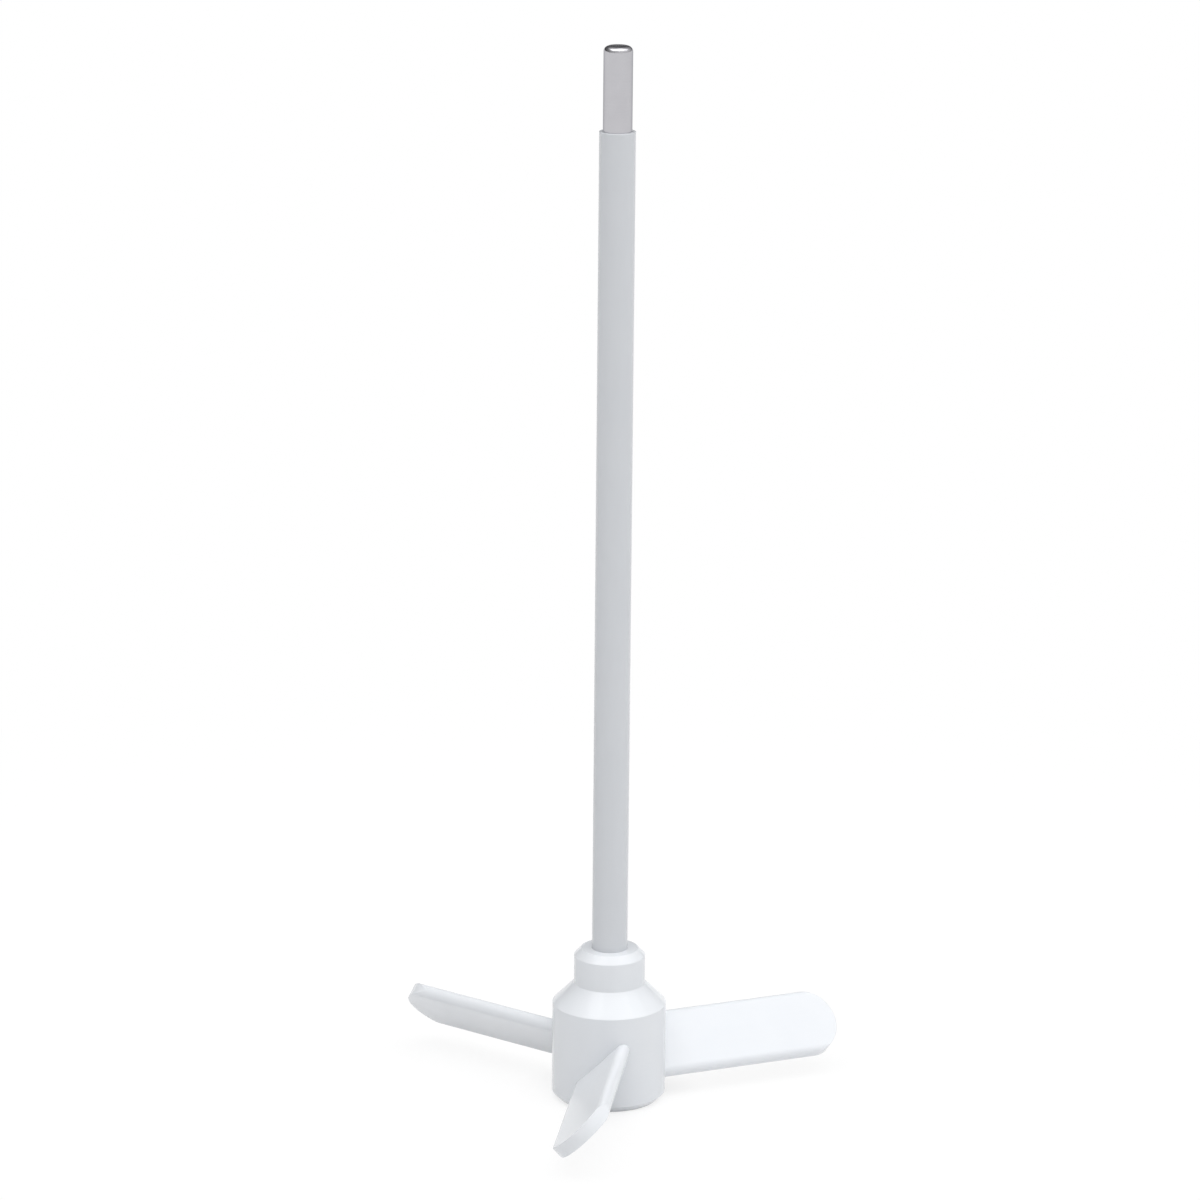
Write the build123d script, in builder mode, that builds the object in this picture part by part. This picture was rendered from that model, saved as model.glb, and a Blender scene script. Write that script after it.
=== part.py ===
from build123d import *
import os

os.makedirs("parts", exist_ok=True)

# A three-bladed stirrer shaft for an overhead stirrer. A steel rod carries the load, and everything that
# enters the vessel is PTFE: a sleeve over the rod, a turned hub, and three pitched blades set into the hub.
# Millimetres, +Z up. The origin is the middle of the hub's flat foot, on the shaft's axis.

# Shaft
total_length = 300.0  # hub foot to drive end
head_diameter = 8.0  # the bare steel head, which the chuck grips
head_length = 23.3
head_rounding = 1.2
core_diameter = 7.6  # steel under the sleeve, thinner so that the head's shoulder holds the sleeve down
sleeve_diameter = 10.0
core_foot_chamfer = 1.0

# Hub
hub_diameter = 32.0
hub_height = 44.0
body_height = 28.0  # cylindrical body, foot chamfer included
collar_diameter = 20.0
cone_height = 6.0
foot_chamfer = 2.0
collar_chamfer = 2.0
foot_wall = 7.0  # PTFE left under the end of the steel
sleeve_seat_depth = 18.0  # how deep the sleeve sits in the hub

# Blades
blade_count = 3
blade_width = 20.0
blade_thickness = 4.0
blade_pitch = 45.0  # degrees out of the horizontal
blade_height = 13.0  # middle of the blades above the foot
propeller_radius = 70.0  # axis to blade tip
root_radius = 8.5  # axis to the flat floor of each blade slot
first_blade_angle = 30.0  # one blade then points to the front, along -Y

# Fits, each a gap on the radius or on each side
core_clearance = 0.02
seat_clearance = 0.02
slot_clearance = 0.02

head_radius = head_diameter / 2
core_radius = core_diameter / 2
sleeve_radius = sleeve_diameter / 2
hub_radius = hub_diameter / 2
collar_radius = collar_diameter / 2
sleeve_foot = hub_height - sleeve_seat_depth
sleeve_top = total_length - head_length
blade_tip_radius = blade_width / 2  # the tip is a half round from edge to edge


def across_blade(index):
    """Two directions of one blade: outward from the axis, and across it from its lower to its upper edge."""
    outward = Vector(1, 0, 0).rotate(Axis.Z, first_blade_angle + index * 360 / blade_count)
    tangent = outward.rotate(Axis.Z, 90)
    return outward, tangent.rotate(Axis((0, 0, 0), outward), blade_pitch)


def section_plane(index):
    """The plane square to one blade at the floor of its slot, where its section is drawn."""
    outward, across = across_blade(index)
    root = outward * root_radius + Vector(0, 0, blade_height)
    return Plane(root, x_dir=across, z_dir=outward)


def tip_plane(index):
    """The plane in the middle of one blade's thickness, centred where its half-round tip begins."""
    outward, across = across_blade(index)
    centre = outward * (propeller_radius - blade_tip_radius) + Vector(0, 0, blade_height)
    return Plane(centre, x_dir=outward, z_dir=outward.cross(across))


# The steel rod, from the floor of the hub's bore up to the head, whose shoulder sits on the sleeve
with BuildPart() as shaft_core:
    with BuildSketch(Plane.XY.offset(foot_wall)):
        Circle(core_radius)
    extrude(amount=sleeve_top - foot_wall)
    with BuildSketch(Plane.XY.offset(sleeve_top)):
        Circle(head_radius)
    extrude(amount=head_length)
    rims = shaft_core.edges().filter_by(GeomType.CIRCLE).sort_by(Axis.Z)
    fillet(rims[-1], head_rounding)
    chamfer(rims[0], core_foot_chamfer)
shaft_core.part.label = "shaft_core"
export_step(shaft_core.part, "parts/shaft_core.step")

# The sleeve over the rod, cut square at both ends and held between the hub's seat and the head's shoulder
with BuildPart() as shaft_sleeve:
    with BuildSketch(Plane.XY.offset(sleeve_foot)):
        Circle(sleeve_radius)
        Circle(core_radius + core_clearance, mode=Mode.SUBTRACT)
    extrude(amount=sleeve_top - sleeve_foot)
shaft_sleeve.part.label = "shaft_sleeve"
export_step(shaft_sleeve.part, "parts/shaft_sleeve.step")

# The hub, turned from PTFE bar: body, cone and collar, a stepped blind bore, and a slot for each blade
with BuildPart() as propeller_hub:
    with BuildSketch(Plane.XZ):
        with BuildLine():
            Polyline(
                (0, 0),
                (hub_radius, 0),
                (hub_radius, body_height),
                (collar_radius, body_height + cone_height),
                (collar_radius, hub_height),
                (0, hub_height),
                close=True,
            )
        make_face()
    revolve(axis=Axis.Z)
    rims = propeller_hub.edges().filter_by(GeomType.CIRCLE).sort_by(Axis.Z)
    chamfer(rims[0], foot_chamfer)
    chamfer(rims[-1], collar_chamfer)
    with Locations((0, 0, hub_height)):
        CounterBoreHole(
            radius=core_radius + core_clearance,
            counter_bore_radius=sleeve_radius + seat_clearance,
            counter_bore_depth=sleeve_seat_depth,
            depth=hub_height - foot_wall,
        )
    for index in range(blade_count):
        with BuildSketch(section_plane(index)):
            SlotOverall(blade_width + 2 * slot_clearance, blade_thickness + 2 * slot_clearance)
        extrude(amount=hub_radius, mode=Mode.SUBTRACT)
propeller_hub.part.label = "propeller_hub"
export_step(propeller_hub.part, "parts/propeller_hub.step")

# The blades, cut from PTFE plate: full-round long edges, a flat root in the slot and a half-round tip
for index in range(blade_count):
    with BuildPart() as blade:
        with BuildSketch(section_plane(index)):
            SlotOverall(blade_width, blade_thickness)
        extrude(amount=propeller_radius - root_radius)
        with BuildSketch(tip_plane(index)):
            Rectangle(blade_width, 2 * blade_width, align=(Align.MIN, Align.CENTER))
            Circle(blade_tip_radius, mode=Mode.SUBTRACT)
        extrude(amount=blade_thickness, both=True, mode=Mode.SUBTRACT)
    blade.part.label = f"blade_{index + 1}"
    export_step(blade.part, f"parts/blade_{index + 1}.step")
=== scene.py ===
# %% [markdown]
# # A PTFE stirrer shaft, dressed around its CAD frame
#
# The object is a shaft for an overhead stirrer in a chemistry laboratory: a steel rod inside a white PTFE
# sleeve, a turned PTFE hub at its lower end, and three pitched PTFE blades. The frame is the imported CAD
# model. It gives every size and place, in metres, with +Z up and the origin in the middle of the hub's foot.
# This script rebuilds each piece as a finer mesh on the same form, gives it a finish, and sets up the studio.

import math

import bmesh
import bpy
from mathutils import Matrix, Vector


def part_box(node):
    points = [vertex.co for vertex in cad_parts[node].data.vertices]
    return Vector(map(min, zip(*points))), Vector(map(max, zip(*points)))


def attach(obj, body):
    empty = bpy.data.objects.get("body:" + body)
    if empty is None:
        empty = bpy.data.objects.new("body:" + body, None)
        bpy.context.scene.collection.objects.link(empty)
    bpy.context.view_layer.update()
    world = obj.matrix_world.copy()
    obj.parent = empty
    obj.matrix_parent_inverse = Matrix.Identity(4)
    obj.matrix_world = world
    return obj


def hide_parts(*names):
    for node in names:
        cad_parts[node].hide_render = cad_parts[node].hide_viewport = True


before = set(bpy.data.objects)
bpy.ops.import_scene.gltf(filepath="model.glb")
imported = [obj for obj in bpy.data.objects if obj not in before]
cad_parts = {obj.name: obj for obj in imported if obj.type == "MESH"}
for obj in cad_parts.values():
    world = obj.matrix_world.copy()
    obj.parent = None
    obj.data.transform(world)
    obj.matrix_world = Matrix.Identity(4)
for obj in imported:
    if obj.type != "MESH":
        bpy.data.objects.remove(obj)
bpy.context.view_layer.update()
MM = 0.001

# %% [markdown]
# ## Sizes
#
# Whatever a node's box can tell is read from the frame, so the looks follow the CAD if it changes. The box
# can't tell where a chamfer or a cone begins, so those few sizes are written here as a drawing would give
# them. The rounding of the steel head is a little larger than the CAD model's 1.2 mm, as the picture
# shows it.

# %% Read the sizes from the frame
core_low, core_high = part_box("shaft_core")
sleeve_low, sleeve_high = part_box("shaft_sleeve")
_, hub_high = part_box("propeller_hub")
front_low, front_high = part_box("blade_3")

core_foot, shaft_top = core_low.z, core_high.z
sleeve_foot, sleeve_top = sleeve_low.z, sleeve_high.z
hub_height = hub_high.z

HEAD_RADIUS = 4.0 * MM
HEAD_ROUNDING = 1.5 * MM
CORE_RADIUS = 3.8 * MM
CORE_FOOT_CHAMFER = 1.0 * MM
SLEEVE_RADIUS = 5.0 * MM
HUB_RADIUS = 16.0 * MM
COLLAR_RADIUS = 10.0 * MM
BODY_HEIGHT = 28.0 * MM
CONE_HEIGHT = 6.0 * MM
FOOT_CHAMFER = 2.0 * MM
COLLAR_CHAMFER = 2.0 * MM
CLEARANCE = 0.02 * MM

BLADE_COUNT = 3
BLADE_WIDTH = 20.0 * MM
BLADE_THICKNESS = 4.0 * MM
BLADE_PITCH = math.radians(45)
BLADE_HEIGHT = 13.0 * MM
FIRST_BLADE = math.radians(30)
PROPELLER_RADIUS = -front_low.y
ROOT_RADIUS = -front_high.y

print("shaft", round(shaft_top / MM, 1), "mm long")
print("propeller", round(2 * PROPELLER_RADIUS / MM, 1), "mm across")

# %% [markdown]
# ## From an outline to a turned piece
#
# The rod, the sleeve and the hub are all round, so each is a lathe job: draw half of its section as a wire,
# soften the corners of the wire, and spin it. A bevel on the vertices of a wire turns each corner into a true
# arc, which is simpler than bevelling every ring of edges after the spin. A real tool never leaves a corner
# perfectly sharp, and that small round is what catches a thin line of light.


# %% Turn a piece from its outline
EDGE_BREAK = 0.15 * MM
EDGE_STEPS = 3
RING_STEPS = 144
MERGE_DISTANCE = 0.0005 * MM


def turned(outline, rounds, closed=False):
    """A bmesh spun round the Z axis from an outline of (radius, height), with chosen corners rounded."""
    bm = bmesh.new()
    wire = [bm.verts.new((radius, 0, height)) for radius, height in outline]
    ends = wire[1:] + wire[:1] if closed else wire[1:]
    for start, end in zip(wire, ends):
        bm.edges.new((start, end))
    for corner, (size, steps) in rounds.items():
        bmesh.ops.bevel(
            bm,
            geom=[wire[corner]],
            affect="VERTICES",
            offset=size,
            segments=steps,
            profile=0.5,
            material=-1,
        )
    bmesh.ops.spin(
        bm,
        geom=bm.verts[:] + bm.edges[:],
        cent=(0, 0, 0),
        axis=(0, 0, 1),
        angle=math.tau,
        steps=RING_STEPS,
        use_merge=True,
    )
    bmesh.ops.remove_doubles(bm, verts=bm.verts, dist=MERGE_DISTANCE)
    bmesh.ops.recalc_face_normals(bm, faces=bm.faces)
    return bm


def trimmed(corners):
    """The usual small edge break for some corners of an outline."""
    return {corner: (EDGE_BREAK, EDGE_STEPS) for corner in corners}


# %% [markdown]
# ## From a bmesh to a finished object
#
# Each piece becomes one object at the origin, whose place is in its mesh. Its faces are shaded smooth, and
# only an edge of more than 50 degrees stays crisp. The weighted normal modifier makes the shading follow the
# large faces, so that a flat stays flat right up to the small round beside it. That saves the rings of
# support edges that a modeller would otherwise add by hand.


# %% Make an object of a bmesh
SHARP_ANGLE = math.radians(50)
FULL_WEIGHT = 100


def linked(bm, name):
    """An object in the scene with the mesh of a bmesh, which is used up."""
    mesh = bpy.data.meshes.new(name)
    bm.to_mesh(mesh)
    bm.free()
    made = bpy.data.objects.new(name, mesh)
    bpy.context.scene.collection.objects.link(made)
    return made


def finished(bm, name, cutters=()):
    """A piece made of a bmesh, with any cutters taken out of it and its shading evened."""
    piece = linked(bm, name)
    for cutter in cutters:
        cut = piece.modifiers.new("slot", "BOOLEAN")
        cut.operation = "DIFFERENCE"
        cut.solver = "EXACT"
        cut.object = cutter
    if cutters:
        shape = piece.evaluated_get(bpy.context.evaluated_depsgraph_get())
        piece.modifiers.clear()
        piece.data = bpy.data.meshes.new_from_object(shape)
        for cutter in cutters:
            bpy.data.objects.remove(cutter)
    piece.data.shade_smooth()
    piece.data.set_sharp_from_angle(angle=SHARP_ANGLE)
    even = piece.modifiers.new("even shading", "WEIGHTED_NORMAL")
    even.keep_sharp = True
    even.weight = FULL_WEIGHT
    return piece


# %% [markdown]
# The CAD model keeps its nodes, and each piece stands in for one of them. Its box is compared with the node's
# at once, because a slip in an outline shows there first.


# %% Put a piece in its node's place
def stands_for(piece, node):
    """Puts a piece in its CAD node's place and says how far its box is from the node's, in mm."""
    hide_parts(node)
    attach(piece, "root")
    low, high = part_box(node)
    off = 0.0
    for axis in range(3):
        along = [vertex.co[axis] for vertex in piece.data.vertices]
        off = max(off, abs(min(along) - low[axis]), abs(max(along) - high[axis]))
    print(node, len(piece.data.vertices), "vertices, box off by", round(off / MM, 3), "mm")


# %% [markdown]
# ## The steel core
#
# A ground stainless bar with a bare head, which the stirrer's chuck grips. The head has a rounded rim, so
# that it slides into the chuck. Its shoulder sits on the sleeve's top. The outline starts and ends on the
# axis, and merging the doubled vertices there closes both poles.

# %% Turn the core
HEAD_RIM = 5
HEAD_STEPS = 12

core_outline = [
    (0, core_foot),
    (CORE_RADIUS - CORE_FOOT_CHAMFER, core_foot),
    (CORE_RADIUS, core_foot + CORE_FOOT_CHAMFER),
    (CORE_RADIUS, sleeve_top),
    (HEAD_RADIUS, sleeve_top),
    (HEAD_RADIUS, shaft_top),
    (0, shaft_top),
]
core = finished(turned(core_outline, {HEAD_RIM: (HEAD_ROUNDING, HEAD_STEPS)}), "steel_core")
stands_for(core, "shaft_core")

# %% [markdown]
# ## The sleeve
#
# A PTFE tube, cut square at both ends. Its outline is a closed loop that doesn't touch the axis, so the spin
# makes a tube with a real bore and a real wall. Only the corner that shows, at the top of the outer wall, has
# its edge broken.

# %% Turn the sleeve
SLEEVE_RIM = 2

sleeve_outline = [
    (CORE_RADIUS + CLEARANCE, sleeve_foot),
    (SLEEVE_RADIUS, sleeve_foot),
    (SLEEVE_RADIUS, sleeve_top),
    (CORE_RADIUS + CLEARANCE, sleeve_top),
]
sleeve = finished(turned(sleeve_outline, trimmed([SLEEVE_RIM]), closed=True), "ptfe_sleeve")
stands_for(sleeve, "shaft_sleeve")

# %% [markdown]
# ## One blade
#
# A blade is a strip of PTFE plate. Its long edges are fully round, and its tip is a half round milled square
# through the plate. A grid makes this shape well. Each column of the grid is one slice across the blade, and
# its rows run round that slice: out along the upper face, round the tip, and back along the lower face. The
# slices lie closest together where the edge rounds off.


# %% Slice a blade from edge to edge
ROUND_STEPS = 10
FLAT_STEPS = 16
TIP_STEPS = 3
SUPPORT_SETBACK = 3


def quarter(step, steps):
    """The angle of one step in a quarter turn."""
    return math.radians(90 * step / steps)


def blade_slices():
    """(place across the blade, half thickness there) for each slice, from the lower to the upper edge."""
    round_radius = BLADE_THICKNESS / 2
    flat = BLADE_WIDTH / 2 - round_radius
    edge = [
        (flat + round_radius * math.sin(turn), round_radius * math.cos(turn))
        for turn in (quarter(step, ROUND_STEPS) for step in range(1, ROUND_STEPS + 1))
    ]
    widest = math.asin(flat / (BLADE_WIDTH / 2))
    middle = [
        (BLADE_WIDTH / 2 * math.sin(widest * step / FLAT_STEPS), round_radius)
        for step in range(-FLAT_STEPS, FLAT_STEPS + 1)
    ]
    return [(-across, half) for across, half in reversed(edge)] + middle + edge


def slice_path(across, half):
    """(distance from the axis, height in the plate) round one slice of the blade."""
    tip_radius = BLADE_WIDTH / 2
    reach = math.sqrt(max(tip_radius**2 - across**2, 0))
    tip = PROPELLER_RADIUS - tip_radius + reach
    soft = min(EDGE_BREAK, half / 2)
    corner = [
        (tip - soft + soft * math.sin(turn), half - soft + soft * math.cos(turn))
        for turn in (quarter(step, TIP_STEPS) for step in range(TIP_STEPS + 1))
    ]
    support = (tip - SUPPORT_SETBACK * soft, half)
    upper = [(ROOT_RADIUS, half), support] + corner
    return upper + [(out, -height) for out, height in reversed(upper)]


# %% [markdown]
# Moving the grid's own vertices on to those slices, and merging the seam, gives clean strips of faces. A
# boolean cut through a bevelled bar would leave slivers along the rounded edges. The finished blade is then
# pitched and carried to its place, so that all three share one shape.


# %% Wrap a grid into a blade
HALF_GRID = 0.5


def blade_place(index):
    """Where a blade sits: pitched about its own length, raised to its height and turned about the shaft."""
    turn = Matrix.Rotation(FIRST_BLADE + index * math.tau / BLADE_COUNT, 4, "Z")
    raise_up = Matrix.Translation((0, 0, BLADE_HEIGHT))
    pitch = Matrix.Rotation(BLADE_PITCH, 4, "X")
    return turn @ raise_up @ pitch


def blade_mesh(index):
    """A bmesh of one blade, pitched and turned to its place round the hub."""
    slices = blade_slices()
    paths = [slice_path(across, half) for across, half in slices]
    columns, rows = len(slices) - 1, len(paths[0])
    bm = bmesh.new()
    bmesh.ops.create_grid(bm, x_segments=columns, y_segments=rows, size=HALF_GRID)
    for vertex in bm.verts:
        column = round((vertex.co.x + HALF_GRID) * columns)
        row = round((vertex.co.y + HALF_GRID) * rows) % rows
        out, height = paths[column][row]
        vertex.co = (out, slices[column][0], height)
    bmesh.ops.remove_doubles(bm, verts=bm.verts, dist=MERGE_DISTANCE)
    bmesh.ops.dissolve_degenerate(bm, dist=MERGE_DISTANCE, edges=bm.edges)
    bmesh.ops.recalc_face_normals(bm, faces=bm.faces)
    bm.transform(blade_place(index))
    return bm


# %% [markdown]
# The three blades stand a third of a turn apart.

# %% Make the three blades
blades = []
for index in range(BLADE_COUNT):
    blade = finished(blade_mesh(index), f"ptfe_blade_{index + 1}")
    stands_for(blade, f"blade_{index + 1}")
    blades.append(blade)

# %% [markdown]
# ## The slots in the hub
#
# Each blade's root sits in a slot of its own shape. The slots aren't round, so they can't be part of the
# hub's spin. They are cut by a boolean, with a bar of the blade's own section, a hair larger. Bevelling the
# bar's long edges by almost half of its thickness rounds them fully. At exactly half, pairs of them would
# meet.


# %% Make a cutter for one slot
ALMOST_ALL = 0.9999


def slot_cutter(index):
    """A bar of the blade's section with clearance, from the slot's floor out past the hub."""
    wide = BLADE_WIDTH + 2 * CLEARANCE
    thick = BLADE_THICKNESS + 2 * CLEARANCE
    long = HUB_RADIUS
    bm = bmesh.new()
    bmesh.ops.create_cube(bm, size=1)
    bmesh.ops.scale(bm, vec=(long, wide, thick), verts=bm.verts)
    along = [edge for edge in bm.edges if abs(edge.verts[0].co.x - edge.verts[1].co.x) > long / 2]
    bmesh.ops.bevel(
        bm,
        geom=along,
        affect="EDGES",
        offset=thick / 2 * ALMOST_ALL,
        segments=ROUND_STEPS,
        profile=0.5,
        material=-1,
    )
    bmesh.ops.translate(bm, vec=(ROOT_RADIUS + long / 2, 0, 0), verts=bm.verts)
    bm.transform(blade_place(index))
    return linked(bm, "cutter")


# %% [markdown]
# ## The hub
#
# The hub is turned from PTFE bar: a flat foot with a small chamfer, a straight body, a 45 degree cone and a
# collar that the shaft drops into. Its bore is stepped, wide for the sleeve and narrower for the steel. The
# corners outside have their edges broken, and the ones in the bore, which nobody sees, stay plain.

# %% Turn the hub and cut its slots
OUTER_CORNERS = range(1, 7)

hub_outline = [
    (0, 0),
    (HUB_RADIUS - FOOT_CHAMFER, 0),
    (HUB_RADIUS, FOOT_CHAMFER),
    (HUB_RADIUS, BODY_HEIGHT),
    (COLLAR_RADIUS, BODY_HEIGHT + CONE_HEIGHT),
    (COLLAR_RADIUS, hub_height - COLLAR_CHAMFER),
    (COLLAR_RADIUS - COLLAR_CHAMFER, hub_height),
    (SLEEVE_RADIUS + CLEARANCE, hub_height),
    (SLEEVE_RADIUS + CLEARANCE, sleeve_foot),
    (CORE_RADIUS + CLEARANCE, sleeve_foot),
    (CORE_RADIUS + CLEARANCE, core_foot),
    (0, core_foot),
]
cutters = [slot_cutter(index) for index in range(BLADE_COUNT)]
hub = finished(turned(hub_outline, trimmed(OUTER_CORNERS)), "ptfe_hub", cutters)
stands_for(hub, "propeller_hub")

# %% [markdown]
# ## Shader maths that reads like maths
#
# A material is a graph of nodes, but a formula is easier to read as a formula. The class Amount wraps one
# socket and overloads Python's operators, so that an expression such as 0.3 + 0.05 * lines adds its Math
# nodes. Each operator has its reflected form as well, for a plain number on the left.


# %% Wrap a socket in arithmetic
class Amount:
    """A number that varies over a surface, ready for arithmetic."""

    def __init__(self, recipe, socket):
        self.recipe, self.socket = recipe, socket

    def maths(self, operation, left, right):
        made = self.recipe.node("ShaderNodeMath", {"operation": operation}, {0: left, 1: right})
        return Amount(self.recipe, made.outputs[0])

    def __add__(self, other):
        return self.maths("ADD", self, other)

    def __mul__(self, other):
        return self.maths("MULTIPLY", self, other)

    def __sub__(self, other):
        return self.maths("SUBTRACT", self, other)

    def __rsub__(self, other):
        return self.maths("SUBTRACT", other, self)

    def __truediv__(self, other):
        return self.maths("DIVIDE", self, other)

    def __rtruediv__(self, other):
        return self.maths("DIVIDE", other, self)

    def __pow__(self, other):
        return self.maths("POWER", self, other)

    def __rpow__(self, other):
        return self.maths("POWER", other, self)

    __radd__ = __add__
    __rmul__ = __mul__


# %% [markdown]
# The class Recipe holds the nodes of one material, and one method adds any of them. The rest of its methods
# are the few moves that every finish here needs. Patterns read the object's own coordinates in millimetres,
# so that a scale of 2 is two waves in a millimetre.


# %% Gather a material's nodes
class Recipe:
    """The nodes of one material, or of the sky."""

    def __init__(self, owner):
        owner.use_nodes = True
        self.owner, self.tree = owner, owner.node_tree
        self.tree.nodes.clear()

    def node(self, kind, settings=None, inputs=None):
        """Adds a node: its settings first, then a value or a link for each of its sockets."""
        made = self.tree.nodes.new(kind)
        for name, value in (settings or {}).items():
            if name == "stops":
                self.set_stops(made.color_ramp.elements, value)
            else:
                setattr(made, name, value)
        for name, value in (inputs or {}).items():
            socket = made.inputs[name]
            if isinstance(value, Amount):
                value = value.socket
            if isinstance(value, bpy.types.NodeSocket):
                self.tree.links.new(value, socket)
            else:
                socket.default_value = value
        return made

    def set_stops(self, elements, stops):
        """Gives a ramp its stops, each a place from 0 to 1 and a level of grey."""
        while len(elements) < len(stops):
            elements.new(1.0)
        for element, (place, level) in zip(elements, stops):
            element.position, element.color = place, (level, level, level, 1)

    def ramp(self, amount, stops):
        """A level that follows an amount through a few stops."""
        made = self.node("ShaderNodeValToRGB", {"stops": stops}, {"Fac": amount})
        return Amount(self, made.outputs["Color"])

    def place(self, turned_by=(0, 0, 0)):
        """The point on the piece in mm, in the piece's own turned frame."""
        where = self.node("ShaderNodeTexCoord").outputs["Object"]
        inputs = {"Vector": where, "Rotation": turned_by, "Scale": (MM, MM, MM)}
        return self.node("ShaderNodeMapping", {"vector_type": "TEXTURE"}, inputs).outputs["Vector"]

    def split(self, vector):
        """The three coordinates of a vector as amounts."""
        parts = self.node("ShaderNodeSeparateXYZ", inputs={"Vector": vector})
        return [Amount(self, part) for part in parts.outputs]

    def from_axis(self, vector):
        """How far a point is from the shaft's axis, and how high it is."""
        across_x, across_y, height = self.split(vector)
        return (across_x * across_x + across_y * across_y) ** 0.5, height

    def stretch(self, point, shares):
        """A point with its coordinates scaled, so that a pattern runs long where a share is small."""
        made = self.node("ShaderNodeVectorMath", {"operation": "MULTIPLY"}, {0: point, 1: shares})
        return made.outputs[0]

    def noise(self, inputs, dimensions="3D"):
        """Soft noise about zero, from roughly minus a half to a half."""
        made = self.node("ShaderNodeTexNoise", {"noise_dimensions": dimensions}, inputs)
        return Amount(self, made.outputs["Fac"]) - 0.5

    def blend(self, share, first, second):
        """A colour between two, by an amount."""
        settings = {"data_type": "RGBA", "clamp_factor": True}
        made = self.node("ShaderNodeMix", settings, {0: share, 6: first, 7: second})
        return made.outputs[2]

    def bump(self, height, depth):
        """A normal from a height that runs about one unit, scaled to a depth in metres."""
        inputs = {"Height": height, "Distance": depth, "Strength": 1.0}
        return self.node("ShaderNodeBump", inputs=inputs).outputs["Normal"]

    def looking(self):
        """One where the camera looks, straight or by a reflection or through glass, and zero elsewhere."""
        path = self.node("ShaderNodeLightPath")
        kinds = ("Is Camera Ray", "Is Glossy Ray", "Is Transmission Ray")
        camera, glossy, clear = (Amount(self, path.outputs[kind]) for kind in kinds)
        return camera + glossy + clear

    def mix(self, share, first, second):
        """A shader between two, by an amount."""
        inputs = {0: share, 1: first.outputs[0], 2: second.outputs[0]}
        return self.node("ShaderNodeMixShader", inputs=inputs)

    def surface(self, shader, output="ShaderNodeOutputMaterial"):
        """Ends the nodes in this shader and gives back what they belong to."""
        self.node(output, inputs={"Surface": shader.outputs[0]})
        print(self.owner.name, "is made of", len(self.tree.nodes), "nodes")
        return self.owner


# %% [markdown]
# ## The finish of PTFE
#
# PTFE is a cool, slightly waxy white. Its index of refraction is low, so its reflections are weak. Even where
# a tool left it smooth it looks semi-gloss, and a lamp shows in it as a pale streak and no more. A machined
# surface carries faint tool marks, and the clean white has slow clouds a percent or two deep. The marks of
# each piece follow how it was made, so one function sets up the plastic, and each finish hands it its own
# pattern of marks, whose height runs about one unit.

# %% Mix the plastic
PTFE_LIGHT = (0.80, 0.82, 0.85, 1)
PTFE_CLOUD = (0.765, 0.79, 0.825, 1)
PTFE_IOR = 1.36
SMOOTH_PTFE = 0.11
MILLED_PTFE = 0.18
CLOUD_SCALE = 0.06


def ptfe(recipe, point, marks, depth, roughness, light=PTFE_LIGHT, cloud=PTFE_CLOUD):
    """White PTFE with given tool marks, scaled to a depth in metres."""
    clouds = recipe.noise({"Vector": point, "Scale": CLOUD_SCALE, "Detail": 3.0})
    plastic = recipe.node(
        "ShaderNodeBsdfPrincipled",
        inputs={
            "Base Color": recipe.blend(clouds * 1.2 + 0.45 + marks * 0.25, light, cloud),
            "Roughness": roughness + clouds * 0.05 + marks * 0.04,
            "IOR": PTFE_IOR,
            "Normal": recipe.bump(marks, depth),
        },
    )
    return recipe.surface(plastic)


# %% [markdown]
# The hub was turned, so its marks are fine rings. A ring's place is its height on the straight walls and its
# distance from the axis on the flats, and the sum of the two serves on both, and on the cone as well.

# %% Finish the hub
RINGS_IN_MM = 2.2
RING_DEPTH = 0.005 * MM

recipe = Recipe(bpy.data.materials.new("turned PTFE"))
point = recipe.place()
distance, height = recipe.from_axis(point)
rings = recipe.noise({"W": height + distance, "Scale": RINGS_IN_MM, "Detail": 2.0}, "1D")
hub.data.materials.append(ptfe(recipe, point, rings, RING_DEPTH, SMOOTH_PTFE))

# %% [markdown]
# The sleeve is a drawn tube. Its marks are faint lines along its length, so the noise is stretched in Z. PTFE
# lets some light through, and under this thin wall lies grey steel, so the sleeve is a shade darker than the
# solid hub.

# %% Finish the sleeve
SLEEVE_LIGHT = (0.660, 0.678, 0.706, 1)
SLEEVE_CLOUD = (0.632, 0.652, 0.683, 1)
ALONG_THE_SLEEVE = (1, 1, 0.02)
SLEEVE_LINES_IN_MM = 1.6
LINE_DEPTH = 0.003 * MM

recipe = Recipe(bpy.data.materials.new("drawn PTFE"))
point = recipe.place()
stretched = recipe.stretch(point, ALONG_THE_SLEEVE)
lines = recipe.noise({"Vector": stretched, "Scale": SLEEVE_LINES_IN_MM, "Detail": 2.0})
drawn = ptfe(recipe, point, lines, LINE_DEPTH, SMOOTH_PTFE, SLEEVE_LIGHT, SLEEVE_CLOUD)
sleeve.data.materials.append(drawn)

# %% [markdown]
# The blades were milled from plate, with the cutter running along each blade, which leaves them a little
# duller than the turned hub. The mapping turns the pattern with its blade, so that the lines lie along it.
# Each blade therefore has its own copy of the finish.

# %% Finish the blades
ALONG_THE_BLADE = (0.03, 1, 1)
BLADE_LINES_IN_MM = 1.1

for index, blade in enumerate(blades):
    recipe = Recipe(bpy.data.materials.new(f"milled PTFE {index + 1}"))
    point = recipe.place(blade_place(index).to_euler())
    stretched = recipe.stretch(point, ALONG_THE_BLADE)
    lines = recipe.noise({"Vector": stretched, "Scale": BLADE_LINES_IN_MM, "Detail": 2.0})
    blade.data.materials.append(ptfe(recipe, point, lines, LINE_DEPTH, MILLED_PTFE))

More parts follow.
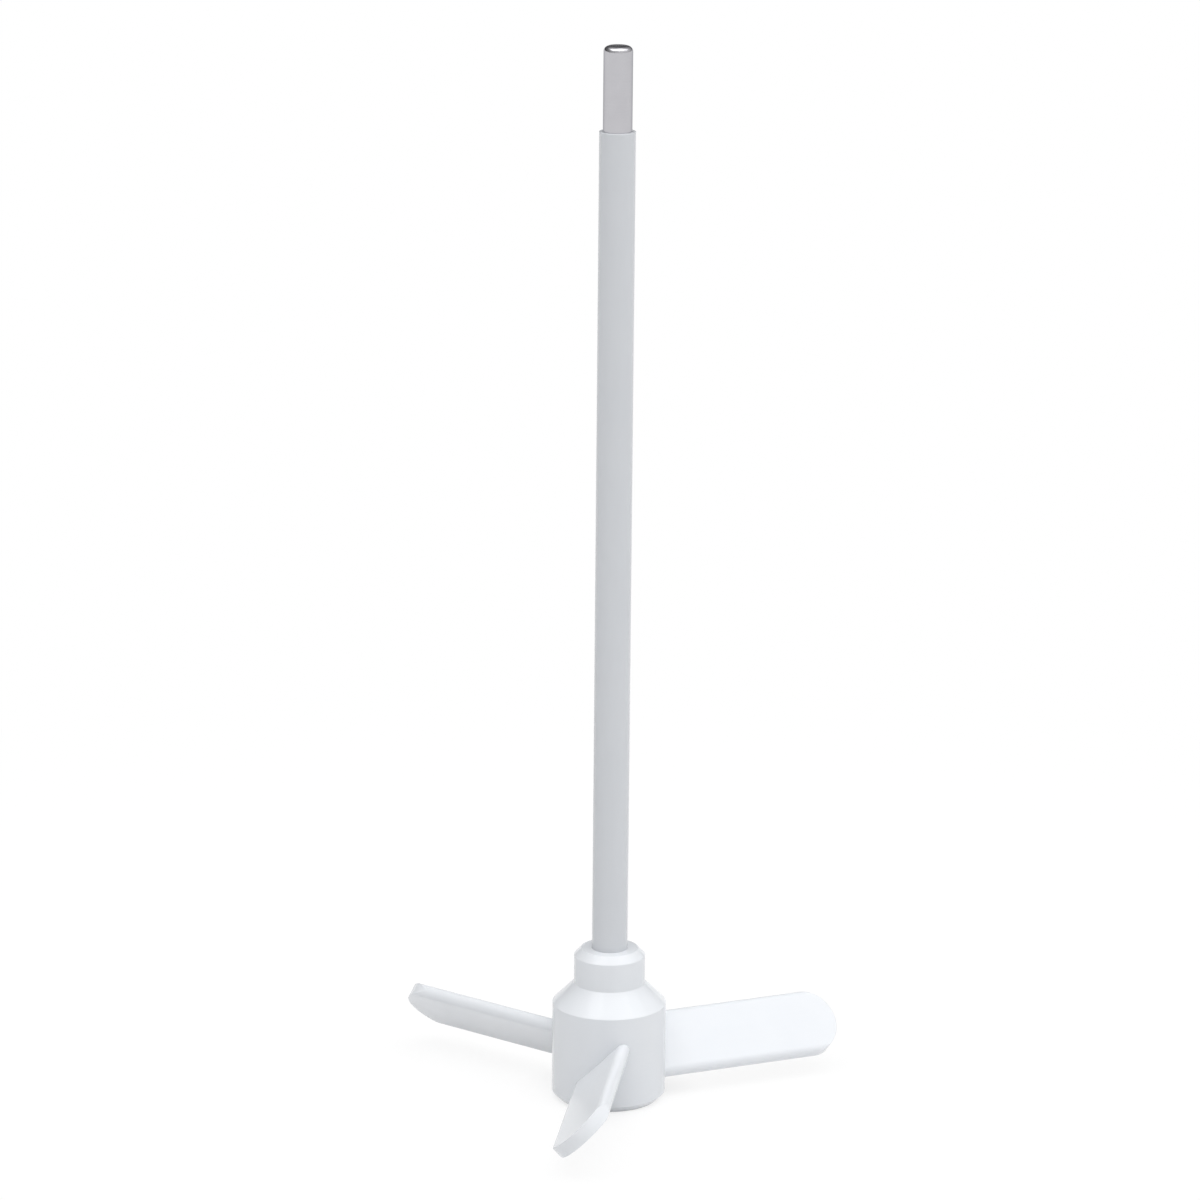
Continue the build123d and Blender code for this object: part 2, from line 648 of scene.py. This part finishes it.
# %% [markdown]
# ## The finish of the steel
#
# The bar was ground between wheels while it turned, which leaves very fine lines round it and a soft sheen.
# The same sum of height and distance gives rings on its wall, over its rounded rim and on its flat end. The
# specular tint darkens the steel where it is seen at a grazing angle.

# %% Finish the steel
STEEL_LIGHT = (0.58, 0.575, 0.60, 1)
STEEL_DARK = (0.50, 0.495, 0.52, 1)
STEEL_AT_GRAZING = (0.55, 0.55, 0.57, 1)
STEEL_ROUGHNESS = 0.19
GRINDING_LINES_IN_MM = 6.0
GRINDING_DEPTH = 0.0012 * MM
STEEL_CLOUD_SCALE = 0.25

recipe = Recipe(bpy.data.materials.new("ground steel"))
point = recipe.place()
distance, height = recipe.from_axis(point)
fine = recipe.noise({"W": height + distance, "Scale": GRINDING_LINES_IN_MM, "Detail": 3.0}, "1D")
slow = recipe.noise({"Vector": point, "Scale": STEEL_CLOUD_SCALE, "Detail": 2.0})
metal = recipe.node(
    "ShaderNodeBsdfPrincipled",
    inputs={
        "Base Color": recipe.blend(0.5 + fine * 0.8 + slow * 0.6, STEEL_LIGHT, STEEL_DARK),
        "Metallic": 1.0,
        "Roughness": STEEL_ROUGHNESS + fine * 0.06 + slow * 0.05,
        "Specular Tint": STEEL_AT_GRAZING,
        "Normal": recipe.bump(fine, GRINDING_DEPTH),
    },
)
core.data.materials.append(recipe.surface(metal))

# %% [markdown]
# ## Floor
#
# The stirrer stands on a white sweep with only a breath of shadow under it. Two things make it so. To light
# that bounces, the floor is plain pale card. To the camera and to reflections it is a white that shines by
# itself, and round the stirrer some of the lit card is mixed in, which carries the object's shadow. The mix
# is strongest at the foot, where the hub touches down. Further out it fades, so the sweep stays an even white
# however the lamps fall off.

# %% Lay the floor
FLOOR_SIZE = 40.0
SHADOW_STOPS = [(0.016, 0.25), (0.028, 0.10), (0.12, 0.10), (0.40, 0.0)]
WHITE = (1, 1, 1, 1)
PALE_CARD = (0.82, 0.82, 0.82, 1)

recipe = Recipe(bpy.data.materials.new("white sweep"))
distance, _ = recipe.from_axis(recipe.node("ShaderNodeTexCoord").outputs["Object"])
bounce = recipe.node("ShaderNodeBsdfDiffuse", inputs={"Color": PALE_CARD})
seen = recipe.node("ShaderNodeBsdfDiffuse", inputs={"Color": WHITE})
shining = recipe.node("ShaderNodeEmission", inputs={"Color": WHITE, "Strength": 1.0})
shaded = recipe.mix(recipe.ramp(distance, SHADOW_STOPS), shining, seen)
floor_material = recipe.surface(recipe.mix(recipe.looking(), bounce, shaded))

bm = bmesh.new()
bmesh.ops.create_grid(bm, x_segments=1, y_segments=1, size=FLOOR_SIZE / 2)
floor = linked(bm, "floor")
floor.data.materials.append(floor_material)

# %% [markdown]
# ## Light
#
# A wide soft box hangs over the stirrer, a little to the front right, with a narrow one on its left and a gap
# between them. They keep the cone and the tops of the blades the lightest, they show as two soft streaks on
# the front of the cone, and they are the bright band on the rounded steel end. Two small boxes fill in from
# the sides. Every white face lies within a few shades of the next, so it is the balance between these lamps
# and the sky that shows the form.

# %% Hang the lamps
LAMP_DISTANCE = 3.0


def soft_box(name, azimuth, elevation, width, depth, power):
    """A lamp that faces the object, with its sides in metres and its power in watts.

    Azimuth 0 is on the camera's side, and a positive azimuth is to the right.
    """
    lamp = bpy.data.lights.new(name, "AREA")
    lamp.shape = "RECTANGLE"
    lamp.size, lamp.size_y = width, depth
    lamp.energy = power
    holder = bpy.data.objects.new(name, lamp)
    side, up = math.radians(azimuth), math.radians(elevation)
    toward = Vector((math.sin(side) * math.cos(up), -math.cos(side) * math.cos(up), math.sin(up)))
    holder.location = toward * LAMP_DISTANCE
    holder.rotation_euler = toward.to_track_quat("Z", "Y").to_euler()
    bpy.context.scene.collection.objects.link(holder)
    print(name, "at", [round(c, 2) for c in holder.location])


soft_box("soft box above right", 38, 78, 2.3, 2.6, 33)
soft_box("soft box above left", -66, 66, 2.2, 0.8, 11.5)
soft_box("soft box left", -60, 60, 1.4, 1.4, 5)
soft_box("soft box right", 100, 58, 1.4, 1.4, 8)

# %% [markdown]
# The sky takes the part of the studio's walls and ceiling. The walls glow on the front right and are dim at
# the back left, and they end some way up. The ceiling is a little darker than they are. At the back the lower
# sky is nearly black, and that is what the flat end of the steel reflects.
#
# A white sweep curves up behind the object in a real studio. Here the camera and reflections see the lowest
# strip of the sky as the same white as the floor, so the picture stays white from a low side view as well.

# %% Light the sky
BRIGHT_SIDE = math.radians(48)
WALL_STOPS = [(0.0, 0.62), (0.25, 0.64), (0.36, 0.80), (0.60, 0.80), (0.72, 0.0)]
CEILING_STOPS = [(0.22, 0.0), (0.34, 0.16), (0.60, 0.16), (0.72, 0.68)]
SWEEP_STOPS = [(0.11, 1.0), (0.14, 0.0)]
JUST_OVER_ONE = 1.0001  # keeps the root above zero straight overhead

world = bpy.data.worlds.new("studio")
bpy.context.scene.world = world
recipe = Recipe(world)
east, north, up = recipe.split(recipe.node("ShaderNodeTexCoord").outputs["Generated"])
level = (JUST_OVER_ONE - up * up) ** 0.5
facing = (east * math.sin(BRIGHT_SIDE) - north * math.cos(BRIGHT_SIDE)) / level
walls = recipe.ramp(up, WALL_STOPS) * (0.5 + 0.5 * facing)
glow = walls + recipe.ramp(up, CEILING_STOPS)
studio = recipe.node("ShaderNodeBackground", inputs={"Color": glow, "Strength": 1.0})
sweep = recipe.node("ShaderNodeBackground", inputs={"Color": WHITE, "Strength": 1.0})
sky = recipe.mix(recipe.looking() * recipe.ramp(up, SWEEP_STOPS), studio, sweep)
recipe.surface(sky, "ShaderNodeOutputWorld")

# %% [markdown]
# ## Camera
#
# A long lens looks down at the stirrer from a little above. It sees the propeller from the side and height
# that the picture has, and stands far enough back along that line for the whole shaft.

# %% Set the camera
CAMERA_DISTANCE = 1.52109
CAMERA_HEIGHT = 0.57012
CAMERA_SIDE = math.radians(6.667)
CAMERA_YAW = math.radians(0.136)
CAMERA_DOWN = math.radians(15.606)
CAMERA_ROLL = math.radians(0.518)
LENS_IN_MM = 171.57
SENSOR_IN_MM = 36
NEAREST, FURTHEST = 0.05, 100

camera_data = bpy.data.cameras.new("camera")
camera_data.lens = LENS_IN_MM
camera_data.sensor_width = SENSOR_IN_MM
camera_data.clip_start, camera_data.clip_end = NEAREST, FURTHEST
camera = bpy.data.objects.new("camera", camera_data)
bpy.context.scene.collection.objects.link(camera)
around = Matrix.Rotation(CAMERA_SIDE, 4, "Z")
stand = Matrix.Translation((0, -CAMERA_DISTANCE, CAMERA_HEIGHT))
yaw = Matrix.Rotation(CAMERA_YAW, 4, "Z")
tilt = Matrix.Rotation(math.pi / 2 - CAMERA_DOWN, 4, "X")
roll = Matrix.Rotation(CAMERA_ROLL, 4, "Z")
camera.matrix_world = around @ stand @ yaw @ tilt @ roll
bpy.context.scene.camera = camera
bpy.context.scene.view_settings.view_transform = "Standard"
print("camera at", [round(c, 3) for c in camera.matrix_world.translation])
